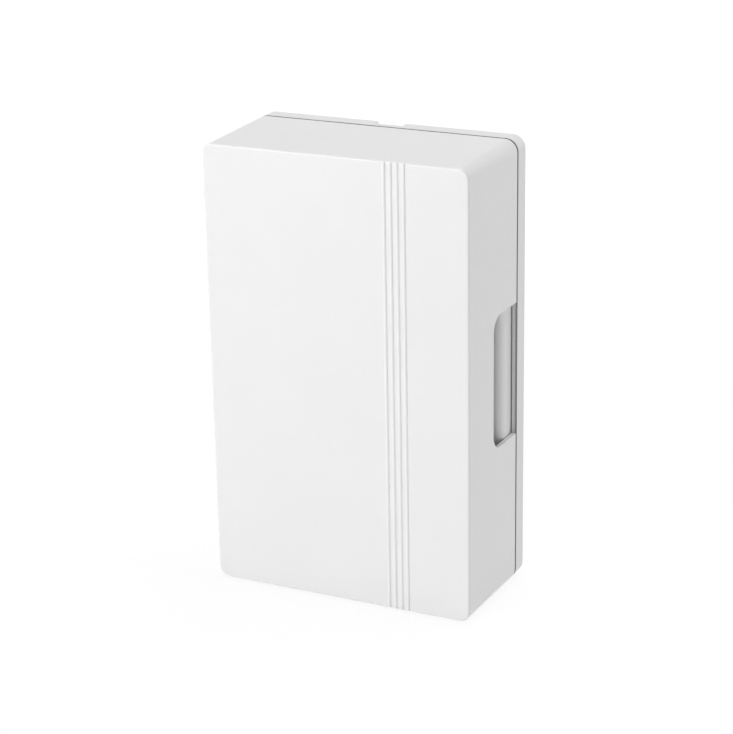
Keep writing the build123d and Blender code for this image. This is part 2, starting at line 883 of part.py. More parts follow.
def build():
    """Every node by its name."""
    right_lead = coil_lead()
    return {
        "base_tray": base_tray(),
        "cover": cover(),
        "tone_bar_left": tone_bar(low_bar_length, -1),
        "tone_bar_right": tone_bar(high_bar_length, 1),
        "bar_bushes": on_all_pegs(bar_bush),
        "bar_clips": on_all_pegs(bar_clip),
        "solenoid_yoke": solenoid_yoke(),
        "yoke_plate": yoke_plate(),
        "coil_bobbin": coil_bobbin(),
        "coil_winding": coil_winding(),
        "plunger_core": plunger_core(),
        "striker_tip_left": striker_tip_left(),
        "striker_tip_right": striker_tip_right(),
        "return_spring": return_spring(),
        "yoke_screws": yoke_screw(yoke_screw_height) + yoke_screw(-yoke_screw_height),
        "terminal_body": terminal_body(),
        "terminal_cages": both_sides(terminal_cage()),
        "terminal_screws": both_sides(terminal_screw()),
        "coil_lead_left": mirror(right_lead, about=Plane.YZ),
        "coil_lead_right": right_lead,
    }


os.makedirs("parts", exist_ok=True)
for node, solid in build().items():
    export_step(solid, f"parts/{node}.step")
report_routes()
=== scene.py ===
# The looks of a wired two-tone door chime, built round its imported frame: X to the right,
# Y into the wall and Z up, in metres. Every piece is modelled in place, in that frame.
import logging
import math
from contextlib import contextmanager
from dataclasses import dataclass, field
from enum import Enum
from typing import Callable, Iterator

import bmesh
import bpy
from mathutils import Matrix, Vector


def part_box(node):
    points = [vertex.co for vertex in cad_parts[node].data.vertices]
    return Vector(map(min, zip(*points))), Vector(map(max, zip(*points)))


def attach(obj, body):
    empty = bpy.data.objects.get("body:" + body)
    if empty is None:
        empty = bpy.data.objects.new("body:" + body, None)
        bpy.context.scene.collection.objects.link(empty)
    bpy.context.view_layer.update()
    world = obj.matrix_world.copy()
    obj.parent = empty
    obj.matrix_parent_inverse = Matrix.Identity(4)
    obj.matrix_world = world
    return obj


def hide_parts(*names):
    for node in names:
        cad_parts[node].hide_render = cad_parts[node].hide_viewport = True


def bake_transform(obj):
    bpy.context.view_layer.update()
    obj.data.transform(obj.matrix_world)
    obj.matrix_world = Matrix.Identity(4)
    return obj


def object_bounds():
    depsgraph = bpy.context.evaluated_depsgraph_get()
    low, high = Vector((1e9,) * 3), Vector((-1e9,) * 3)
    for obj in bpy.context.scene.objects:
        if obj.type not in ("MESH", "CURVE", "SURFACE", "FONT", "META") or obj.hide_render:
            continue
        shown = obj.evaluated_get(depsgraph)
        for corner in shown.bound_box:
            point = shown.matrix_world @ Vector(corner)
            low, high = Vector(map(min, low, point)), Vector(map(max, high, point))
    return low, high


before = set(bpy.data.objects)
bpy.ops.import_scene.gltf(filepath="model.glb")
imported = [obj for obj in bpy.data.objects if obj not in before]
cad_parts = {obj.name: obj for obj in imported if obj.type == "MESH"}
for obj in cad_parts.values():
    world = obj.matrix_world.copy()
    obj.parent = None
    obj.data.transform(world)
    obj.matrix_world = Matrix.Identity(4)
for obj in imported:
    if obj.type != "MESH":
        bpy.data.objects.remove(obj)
CAD_LOW, CAD_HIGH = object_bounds()
MM = 0.001
NEAR = 0.01 * MM  # places closer than this are the same place
SAME_POINT = 0.001 * MM  # points closer than this are merged
FLAT = math.radians(0.5)  # faces that meet at less than this angle are one face
NOISE_RANGE = (0.25, 0.75)  # where nearly all of a noise's values lie
log = logging.getLogger("chime")

Colour = tuple[float, float, float]
Triple = tuple[float, float, float]
Test = Callable[[Vector, Vector], bool]


class Body(Enum):
    """The bodies that pieces ride on."""

    TRAY = "tray"
    COVER = "cover"
    PLUNGER = "plunger"


class Grain(Enum):
    """The way that the fine lines of a metal run."""

    ACROSS = (0.02, 1.0, 1.0)
    OUTWARD = (1.0, 0.02, 1.0)
    UPRIGHT = (1.0, 1.0, 0.02)
    NONE = (1.0, 1.0, 1.0)


class Part(Enum):
    """The parts of a mesh that can be picked."""

    POINT = "VERT"
    EDGE = "EDGE"
    FACE = "FACE"


class Way(Enum):
    """How one solid works on another."""

    CUT = "DIFFERENCE"
    ADD = "UNION"


def take(piece: bpy.types.Object) -> None:
    """Select one object alone and make it the active one.

    Args:
        piece: the object to work on.
    """
    bpy.ops.object.select_all(action="DESELECT")
    piece.select_set(True)
    bpy.context.view_layer.objects.active = piece


@contextmanager
def editing(piece: bpy.types.Object) -> Iterator[None]:
    """Hold a piece in edit mode for the length of a with block.

    Args:
        piece: the mesh object to edit.
    """
    take(piece)
    bpy.ops.object.mode_set(mode="EDIT")
    try:
        yield
    finally:
        bpy.ops.object.mode_set(mode="OBJECT")


def pick(kind: Part, test: Test) -> None:
    """Select the parts of the mesh in edit mode that pass a test, and nothing else.

    Args:
        kind: the kind of part.
        test: takes a part's middle and its normal, or an edge's direction.
    """
    bpy.ops.mesh.select_mode(type=kind.value)
    bpy.ops.mesh.select_all(action="DESELECT")
    mesh = bmesh.from_edit_mesh(bpy.context.edit_object.data)
    for part in {Part.POINT: mesh.verts, Part.EDGE: mesh.edges, Part.FACE: mesh.faces}[kind]:
        if kind is Part.POINT:
            middle, heading = part.co, part.normal
        elif kind is Part.EDGE:
            middle = (part.verts[0].co + part.verts[1].co) / 2
            heading = part.verts[1].co - part.verts[0].co
        else:
            middle, heading = part.calc_center_median(), part.normal
        if test(middle, heading):
            part.select_set(True)
    bmesh.update_edit_mesh(bpy.context.edit_object.data)


def settle(piece: bpy.types.Object, name: str) -> bpy.types.Object:
    """Put a new primitive's place into its mesh, so that its object stays at the origin.

    Args:
        piece: the object just added.
        name: its name.

    Returns:
        The same object.
    """
    take(piece)
    bpy.ops.object.transform_apply(location=True, rotation=True, scale=True)
    piece.name = name
    piece.data.name = name
    return piece


def add_sheet(name: str, middle: Vector, width: float, height: float) -> bpy.types.Object:
    """Add an upright rectangle that faces the room.

    Args:
        name: the new object's name.
        middle: its middle.
        width: its size along X.
        height: its size along Z.

    Returns:
        The new object.
    """
    bpy.ops.object.select_all(action="DESELECT")
    bpy.ops.mesh.primitive_plane_add(size=1, location=middle, rotation=(math.pi / 2, 0, 0))
    sheet = bpy.context.active_object
    sheet.scale = (width, height, 1)
    return settle(sheet, name)


def add_block(name: str, low: Vector, high: Vector) -> bpy.types.Object:
    """Add a box between two corners.

    Args:
        name: the new object's name.
        low: its lowest corner.
        high: its highest corner.

    Returns:
        The new object.
    """
    bpy.ops.object.select_all(action="DESELECT")
    bpy.ops.mesh.primitive_cube_add(size=1, location=(low + high) / 2)
    block = bpy.context.active_object
    block.scale = high - low
    return settle(block, name)


def add_ring(
    name: str, middle: Vector, radius: float, turn: Triple, sides: int
) -> bpy.types.Object:
    """Add an open circle.

    Args:
        name: the new object's name.
        middle: its middle.
        radius: its radius.
        turn: its rotation, from a circle that lies level.
        sides: how many sides it has.

    Returns:
        The new object.
    """
    bpy.ops.object.select_all(action="DESELECT")
    bpy.ops.mesh.primitive_circle_add(
        vertices=sides, radius=radius, fill_type="NOTHING", location=middle, rotation=turn
    )
    return settle(bpy.context.active_object, name)


def add_rod(
    name: str, start: Vector, end: Vector, radius: float, sides: int
) -> bpy.types.Object:
    """Add a closed cylinder between two points.

    Args:
        name: the new object's name.
        start: the middle of one end.
        end: the middle of the other end.
        radius: its radius.
        sides: how many sides it has.

    Returns:
        The new object.
    """
    along = end - start
    turn = along.to_track_quat("Z", "Y").to_euler()
    bpy.ops.object.select_all(action="DESELECT")
    bpy.ops.mesh.primitive_cylinder_add(
        vertices=sides, radius=radius, depth=along.length,
        location=(start + end) / 2, rotation=turn,
    )
    return settle(bpy.context.active_object, name)


def finish_with(piece: bpy.types.Object, kind: str, **settings: object) -> None:
    """Add one modifier to a piece and apply it.

    Args:
        piece: the piece.
        kind: the modifier's type.
        settings: its settings.
    """
    take(piece)
    modifier = piece.modifiers.new(kind.lower(), kind)
    for key, value in settings.items():
        setattr(modifier, key, value)
    bpy.ops.object.modifier_apply(modifier=modifier.name)


def carve(piece: bpy.types.Object, tool: bpy.types.Object, way: Way) -> None:
    """Cut one solid from another, or add it, and delete the tool.

    Args:
        piece: the piece that stays.
        tool: the solid that is used up.
        way: what the tool does to the piece.
    """
    finish_with(piece, "BOOLEAN", object=tool, operation=way.value, solver="EXACT")
    bpy.data.objects.remove(tool)


def smooth(piece: bpy.types.Object, crease: float = 32.0) -> None:
    """Shade a piece smooth except over its sharp edges, with its large faces kept flat.

    Args:
        piece: the piece.
        crease: the least angle, in degrees, of an edge that stays sharp.
    """
    take(piece)
    bpy.ops.object.shade_smooth_by_angle(angle=math.radians(crease))
    finish_with(piece, "WEIGHTED_NORMAL", keep_sharp=True)


def ease(piece: bpy.types.Object, width: float, angle: float = 40.0, segments: int = 2) -> None:
    """Round a piece's sharp edges, as moulding, stamping and tumbling leave them.

    Args:
        piece: the piece.
        width: how far from the edge the rounding starts.
        angle: the least angle, in degrees, of an edge that is rounded.
        segments: how many faces a rounded edge has.
    """
    finish_with(
        piece, "BEVEL", width=width, segments=segments, limit_method="ANGLE",
        angle_limit=math.radians(angle), use_clamp_overlap=True, harden_normals=False,
    )


def join(pieces: list[bpy.types.Object], name: str) -> bpy.types.Object:
    """Join several meshes into one object.

    Args:
        pieces: the meshes; the first one stays.
        name: the joined object's name.

    Returns:
        The joined object.
    """
    take(pieces[0])
    for piece in pieces[1:]:
        piece.select_set(True)
    bpy.ops.object.join()
    pieces[0].name = name
    pieces[0].data.name = name
    return pieces[0]


def copied(piece: bpy.types.Object, name: str) -> bpy.types.Object:
    """Copy a piece in its place, with its own mesh.

    Args:
        piece: the piece.
        name: the copy's name.

    Returns:
        The copy.
    """
    copy = piece.copy()
    copy.data = piece.data.copy()
    bpy.context.scene.collection.objects.link(copy)
    copy.name = name
    copy.data.name = name
    return copy


def mirrored(piece: bpy.types.Object, name: str) -> bpy.types.Object:
    """Copy a piece to the other side of the box.

    Args:
        piece: the piece on one side.
        name: the copy's name.

    Returns:
        The copy.
    """
    copy = copied(piece, name)
    copy.data.transform(Matrix.Scale(-1, 4, Vector((1, 0, 0))))
    with editing(copy):
        bpy.ops.mesh.select_all(action="SELECT")
        bpy.ops.mesh.normals_make_consistent(inside=False)
    return copy


class NodeBench:
    """One material's node tree, with short calls that add, set and join nodes."""

    def __init__(self, name: str) -> None:
        """Start an empty material.

        Args:
            name: the material's name.
        """
        self.material = bpy.data.materials.new(name)
        self.material.use_nodes = True
        self.tree = self.material.node_tree
        self.tree.nodes.clear()
        self.output = self.add("ShaderNodeOutputMaterial")
        self.place = self.add("ShaderNodeTexCoord")

    def add(self, kind: str, sockets: dict | None = None, **settings: object) -> bpy.types.Node:
        """Add a node.

        Args:
            kind: the node's type.
            sockets: values for its input sockets, by name or number.
            settings: its own settings.

        Returns:
            The node.
        """
        node = self.tree.nodes.new(kind)
        for key, value in settings.items():
            setattr(node, key, value)
        for key, value in (sockets or {}).items():
            node.inputs[key].default_value = value
        return node

    def join(
        self, source: bpy.types.Node, out: str | int, target: bpy.types.Node, into: str | int
    ) -> None:
        """Link one node's output to another's input."""
        self.tree.links.new(source.outputs[out], target.inputs[into])

    def noise(
        self, scale: float, detail: float = 2.0, stretch: Grain = Grain.NONE
    ) -> bpy.types.Node:
        """Add a noise that lies still in the piece's own space.

        Args:
            scale: how many lumps a metre holds.
            detail: how many finer layers it has.
            stretch: the way that its lumps are drawn out.

        Returns:
            The noise node.
        """
        mapping = self.add("ShaderNodeMapping", {"Scale": stretch.value})
        noise = self.add("ShaderNodeTexNoise", {"Scale": scale, "Detail": detail})
        self.join(self.place, "Object", mapping, "Vector")
        self.join(mapping, "Vector", noise, "Vector")
        return noise

    def between(self, source: bpy.types.Node, low: float, high: float) -> bpy.types.Node:
        """Spread a noise's usual range over a range of values.

        Args:
            source: the noise node.
            low: the value at the noise's dark places.
            high: the value at its light places.

        Returns:
            The node that holds the value.
        """
        darkest, lightest = NOISE_RANGE
        spread = self.add(
            "ShaderNodeMapRange",
            {"From Min": darkest, "From Max": lightest, "To Min": low, "To Max": high},
        )
        self.join(source, 0, spread, "Value")
        return spread

    def blend(self, source: bpy.types.Node, first: Colour, second: Colour) -> bpy.types.Node:
        """Turn a value from 0 to 1 into a colour between two.

        Args:
            source: the node that holds the value.
            first: the colour at 0.
            second: the colour at 1.

        Returns:
            The colour ramp node.
        """
        ramp = self.add("ShaderNodeValToRGB")
        ramp.color_ramp.elements[0].color = (*first, 1)
        ramp.color_ramp.elements[1].color = (*second, 1)
        self.join(source, 0, ramp, "Fac")
        return ramp

    def bump(self, source: bpy.types.Node, height: float, strength: float = 1.0) -> bpy.types.Node:
        """Add a bump.

        Args:
            source: the node that holds the height.
            height: the height in metres between its 0 and 1.
            strength: how much of it shows.

        Returns:
            The bump node.
        """
        bump = self.add("ShaderNodeBump", {"Strength": strength, "Distance": height})
        self.join(source, 0, bump, "Height")
        return bump

    def surface(
        self, shader: bpy.types.Node, colour: bpy.types.Node,
        gloss: bpy.types.Node | None = None, relief: bpy.types.Node | None = None,
    ) -> None:
        """Join what varies over a surface to its shader, and the shader to the output.

        Args:
            shader: the shader node.
            colour: the node that holds the base colour.
            gloss: the node that holds the roughness, where it varies.
            relief: the bump node, where there is one.
        """
        for source, socket in ((colour, "Base Color"), (gloss, "Roughness"), (relief, "Normal")):
            if source is not None:
                self.join(source, 0, shader, socket)
        self.join(shader, 0, self.output, 0)


def shade(colour: Colour, factor: float) -> Colour:
    """A colour made lighter or darker."""
    return tuple(min(1.0, part * factor) for part in colour)


def shades(colour: Colour, spread: float) -> tuple[Colour, Colour]:
    """A colour made darker and lighter by the same share."""
    return shade(colour, 1 - spread), shade(colour, 1 + spread)


@dataclass(frozen=True)
class Finish:
    """A finish that a piece wears: here the plain one that the frame brings for a slot."""

    name: str

    def material(self) -> bpy.types.Material:
        """The material that the frame brings."""
        return bpy.data.materials[self.name]


@dataclass(frozen=True)
class MadeFinish(Finish):
    """A finish with a colour and nodes of its own, under a name that the frame doesn't use."""

    colour: Colour

    def lay(self, bench: NodeBench) -> None:
        """Add the finish's nodes, as each kind of finish does in its own way.

        Args:
            bench: the node tree.
        """
        raise NotImplementedError

    def material(self) -> bpy.types.Material:
        """The material, made the first time that it is asked for.

        Returns:
            The material.
        """
        made = bpy.data.materials.get(self.name)
        if made is None:
            bench = NodeBench(self.name)
            self.lay(bench)
            made = bench.material
        return made


@dataclass(frozen=True)
class Moulded(MadeFinish):
    """Moulded plastic: a fine eroded grain, soft gloss and a very slight cloudiness."""

    roughness: float = 0.42
    gloss_spread: float = 0.02
    gloss_scale: float = 160.0
    grain_height: float = 0.004 * MM
    grain_scale: float = 2600.0
    cloud: float = 0.008
    cloud_scale: float = 45.0
    ior: float = 1.5

    def tint(self, bench: NodeBench) -> bpy.types.Node:
        """Cloud the plastic's colour very slightly.

        Args:
            bench: the node tree.

        Returns:
            The node that holds the colour.
        """
        clouds = bench.between(bench.noise(self.cloud_scale), 0.0, 1.0)
        return bench.blend(clouds, *shades(self.colour, self.cloud))

    def lay(self, bench: NodeBench) -> None:
        """Add the plastic's nodes.

        Args:
            bench: the node tree.
        """
        shader = bench.add("ShaderNodeBsdfPrincipled", {"IOR": self.ior})
        gloss = bench.between(
            bench.noise(self.gloss_scale, detail=3.0),
            self.roughness - self.gloss_spread, self.roughness + self.gloss_spread,
        )
        grain = bench.bump(bench.noise(self.grain_scale, detail=1.0), self.grain_height)
        bench.surface(shader, self.tint(bench), gloss, grain)


@dataclass(frozen=True)
class PaintedSeamShadeRim(Moulded):
    """Moulded plastic with a fine line of painted shade on the rim's front, where the seam's
    shadow falls.
    """

    half_width: float = 57.5 * MM
    half_height: float = 93.5 * MM
    corner: float = 5.25 * MM
    rim_front: float = -7.4 * MM
    line: float = 0.7 * MM
    fade: float = 0.3 * MM
    # the colour of the painted shade in the seam
    painted_shade: Colour = (0.33, 0.33, 0.325)

    def tint(self, bench: NodeBench) -> bpy.types.Node:
        """Lay the line of painted shade over the clouded plastic.

        Args:
            bench: the node tree.

        Returns:
            The node that holds the colour.
        """
        # Mask of the painted shade: near the rounded outline and on the rim's front face.
        level = bench.add("ShaderNodeVectorMath", {1: (1, 0, 1)}, operation="MULTIPLY")
        size = bench.add("ShaderNodeVectorMath", operation="ABSOLUTE")
        corner = (self.half_width - self.corner, 0, self.half_height - self.corner)
        past = bench.add("ShaderNodeVectorMath", {1: corner}, operation="SUBTRACT")
        outside = bench.add("ShaderNodeVectorMath", {1: (0, 0, 0)}, operation="MAXIMUM")
        reach = bench.add("ShaderNodeVectorMath", operation="LENGTH")
        bench.join(bench.place, "Object", level, 0)
        for source, target in ((level, size), (size, past), (past, outside), (outside, reach)):
            bench.join(source, 0, target, 0)
        edge = self.corner - self.line
        near_edge = bench.add(
            "ShaderNodeMapRange", {"From Min": edge - self.fade, "From Max": edge}
        )
        bench.join(reach, "Value", near_edge, "Value")
        depth = bench.add("ShaderNodeSeparateXYZ")
        bench.join(bench.place, "Object", depth, 0)
        unshaded = self.rim_front + self.fade / 2
        fully_shaded = self.rim_front + self.fade / 8
        on_front = bench.add("ShaderNodeMapRange", {"From Min": unshaded, "From Max": fully_shaded})
        bench.join(depth, "Y", on_front, "Value")
        both = bench.add("ShaderNodeMath", operation="MULTIPLY")
        bench.join(near_edge, 0, both, 0)
        bench.join(on_front, 0, both, 1)
        # Painted shade: the rim's front face is darkened near its outer edge, where the seam's
        # shadow falls.
        mixed = bench.add("ShaderNodeMixRGB", {"Color2": (*self.painted_shade, 1)})
        bench.join(both, 0, mixed, "Fac")
        bench.join(super().tint(bench), 0, mixed, "Color1")
        return mixed


@dataclass(frozen=True)
class Metal(MadeFinish):
    """Plated or drawn metal: lines along its grain, mottled plating and small marks."""

    roughness: float = 0.34
    smoother: float = 0.06
    rougher: float = 0.08
    grain: Grain = Grain.NONE
    grain_scale: float = 3000.0
    grain_height: float = 0.003 * MM
    plating_scale: float = 260.0
    line_share: float = 0.5
    mottle: float = 0.06

    def lay(self, bench: NodeBench) -> None:
        """Add the metal's nodes.

        Args:
            bench: the node tree.
        """
        shader = bench.add("ShaderNodeBsdfPrincipled", {"Metallic": 1.0})
        plating = bench.between(bench.noise(self.plating_scale, detail=4.0), 0.0, 1.0)
        lines = bench.noise(self.grain_scale, detail=3.0, stretch=self.grain)
        mixed = bench.add("ShaderNodeMix", {"Factor": self.line_share})
        # Sockets 2 and 3 are the two plain numbers that the node mixes.
        bench.join(plating, 0, mixed, 2)
        bench.join(bench.between(lines, 0.0, 1.0), 0, mixed, 3)
        colours = bench.blend(mixed, *shades(self.colour, self.mottle))
        gloss = bench.between(lines, self.roughness - self.smoother, self.roughness + self.rougher)
        bench.surface(shader, colours, gloss, bench.bump(lines, self.grain_height))


@dataclass(frozen=True)
class Enamelled(MadeFinish):
    """Copper wire under clear enamel."""

    roughness: float = 0.3
    coat: float = 0.8
    coat_roughness: float = 0.12
    turn_scale: float = 500.0
    darkest: float = 0.82
    lightest: float = 1.12

    def lay(self, bench: NodeBench) -> None:
        """Add the wire's nodes.

        Args:
            bench: the node tree.
        """
        shader = bench.add(
            "ShaderNodeBsdfPrincipled",
            {
                "Metallic": 1.0, "Roughness": self.roughness,
                "Coat Weight": self.coat, "Coat Roughness": self.coat_roughness,
            },
        )
        lines = bench.noise(self.turn_scale, detail=3.0, stretch=Grain.OUTWARD)
        turns = bench.between(lines, 0.0, 1.0)
        dark, light = (shade(self.colour, part) for part in (self.darkest, self.lightest))
        bench.surface(shader, bench.blend(turns, dark, light))


@dataclass(frozen=True)
class Tape(MadeFinish):
    """Pale woven insulating tape."""

    ior: float = 1.47
    aged: float = 0.93
    age_scale: float = 120.0
    smoothest: float = 0.45
    roughest: float = 0.58
    gloss_scale: float = 300.0
    threads: float = 1500.0
    weave_height: float = 0.012 * MM
    weave_strength: float = 0.7

    def lay(self, bench: NodeBench) -> None:
        """Add the tape's nodes.

        Args:
            bench: the node tree.
        """
        shader = bench.add("ShaderNodeBsdfPrincipled", {"IOR": self.ior})
        age = bench.between(bench.noise(self.age_scale, detail=3.0), 0.0, 1.0)
        colours = bench.blend(age, shade(self.colour, self.aged), self.colour)
        gloss = bench.between(bench.noise(self.gloss_scale), self.smoothest, self.roughest)
        weave = bench.noise(self.threads, detail=1.0, stretch=Grain.ACROSS)
        relief = bench.bump(weave, self.weave_height, self.weave_strength)
        bench.surface(shader, colours, gloss, relief)


@dataclass(frozen=True)
class StudioFloor(MadeFinish):
    """The pale floor: white to the camera but for the object's soft shadow."""

    colour: Colour = (0.88, 0.88, 0.88)
    shadow: Colour = (0.15, 0.15, 0.15)
    glow: float = 0.88
    near: float = 0.3
    far: float = 1.1

    def lay(self, bench: NodeBench) -> None:
        """Add the floor's nodes.

        Args:
            bench: the node tree.
        """
        plain = bench.add("ShaderNodeBsdfDiffuse", {"Color": (*self.colour, 1)})
        dim = bench.add("ShaderNodeBsdfDiffuse", {"Color": (*self.shadow, 1)})
        white = bench.add("ShaderNodeEmission", {"Color": (1, 1, 1, 1)})
        away = bench.add("ShaderNodeVectorMath", operation="LENGTH")
        fading = bench.add(
            "ShaderNodeMapRange",
            {"From Min": self.near, "From Max": self.far, "To Min": self.glow, "To Max": 1.0},
        )
        bench.join(bench.place, "Object", away, 0)
        bench.join(away, "Value", fading, "Value")
        bench.join(fading, 0, white, "Strength")
        seen = bench.add("ShaderNodeAddShader")
        choice = bench.add("ShaderNodeMixShader")
        bench.join(dim, 0, seen, 0)
        bench.join(white, 0, seen, 1)
        bench.join(seen_directly(bench), 0, choice, 0)
        bench.join(plain, 0, choice, 1)
        bench.join(seen, 0, choice, 2)
        bench.join(choice, 0, bench.output, 0)


def seen_directly(bench: NodeBench) -> bpy.types.Node:
    """Add nodes that are 1 where the camera sees a thing itself, in a gloss or through glass.

    Args:
        bench: the node tree to add them to.

    Returns:
        The last of the nodes.
    """
    path = bench.add("ShaderNodeLightPath")
    first = bench.add("ShaderNodeMath", operation="MAXIMUM")
    second = bench.add("ShaderNodeMath", operation="MAXIMUM")
    bench.join(path, "Is Camera Ray", first, 0)
    bench.join(path, "Is Glossy Ray", first, 1)
    bench.join(first, 0, second, 0)
    bench.join(path, "Is Transmission Ray", second, 1)
    return second


class WorldBench(NodeBench):
    """The world's node tree."""

    def __init__(self, name: str) -> None:
        """Start an empty world.

        Args:
            name: the world's name.
        """
        self.world = bpy.data.worlds.new(name)
        self.world.use_nodes = True
        self.tree = self.world.node_tree
        self.tree.nodes.clear()
        self.output = self.add("ShaderNodeOutputWorld")


CASE_WHITE = Moulded("case_white", (0.8, 0.8, 0.798), roughness=0.3)
# The tray's white carries a painted shade line along the seam.
TRAY_WHITE = PaintedSeamShadeRim("tray_white", (0.79, 0.79, 0.788), roughness=0.42)
NATURAL_NYLON = Moulded("natural_nylon", (0.72, 0.69, 0.6), roughness=0.5, cloud=0.03)
WHITE_NYLON = Moulded("white_nylon", (0.8, 0.79, 0.75), roughness=0.4, cloud=0.02)
SHEET_STEEL = Metal(
    "sheet_steel", (0.42, 0.42, 0.42), roughness=0.38, grain=Grain.ACROSS, mottle=0.22
)
SPRING_STEEL = Metal("spring_steel", (0.36, 0.36, 0.365), roughness=0.28, mottle=0.15)
TURNED_STEEL = Metal(
    "turned_steel", (0.38, 0.38, 0.385), roughness=0.27, grain=Grain.OUTWARD, mottle=0.15
)
DRAWN_BRASS = Metal(
    "drawn_brass", (0.62, 0.45, 0.17), roughness=0.3, grain=Grain.UPRIGHT, mottle=0.15
)
BARE_COPPER = Metal("bare_copper", (0.75, 0.42, 0.26), roughness=0.3)
COIL_COPPER = Enamelled("coil_copper", (0.62, 0.26, 0.12))
COIL_TAPE = Tape("coil_tape", (0.78, 0.7, 0.45))
# The next five are the frame's own plain materials.
BAR_STEEL = Finish("bar_steel")
BUSH_RUBBER = Finish("bush_rubber")
SCREW_STEEL = Finish("screw_steel")
TERMINAL_NYLON = Finish("terminal_nylon")
LEAD_SLEEVE = Finish("lead_sleeve")


def dress(piece: bpy.types.Object, finish: Finish) -> None:
    """Give a piece one finish all over.

    Args:
        piece: the piece.
        finish: the finish.
    """
    piece.data.materials.clear()
    piece.data.materials.append(finish.material())


def stand_for(
    piece: bpy.types.Object, body: Body, finish: Finish, node: str
) -> None:
    """Dress a finished piece, ride it on its body and let it stand for its CAD node.

    Args:
        piece: the piece.
        body: the body that it rides on.
        finish: its finish.
        node: the CAD node that it replaces.
    """
    dress(piece, finish)
    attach(piece, body.value)
    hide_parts(node)
    log.info("piece %s: %d faces, on %s", piece.name, len(piece.data.polygons), body.value)


@dataclass(frozen=True)
class EasedNode:
    """A CAD node whose shape is right, shown with the edges that its making leaves."""

    node: str
    piece_name: str
    slot: str
    finish: Finish
    edge: float
    body: Body = Body.TRAY
    whole: bool = False

    def build(self) -> None:
        """Copy the node, merge its faces, split them evenly unless whole, and ease its edges."""
        piece = copied(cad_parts[self.node], self.piece_name)
        for key in list(piece.keys()):
            del piece[key]
        piece.parent = None
        with editing(piece):
            bpy.ops.mesh.select_all(action="SELECT")
            bpy.ops.mesh.remove_doubles(threshold=SAME_POINT)
            bpy.ops.mesh.dissolve_limited(angle_limit=FLAT)
            if not self.whole:
                bpy.ops.mesh.quads_convert_to_tris(quad_method="BEAUTY", ngon_method="BEAUTY")
        ease(piece, self.edge)
        smooth(piece)
        stand_for(piece, self.body, self.finish, self.node)


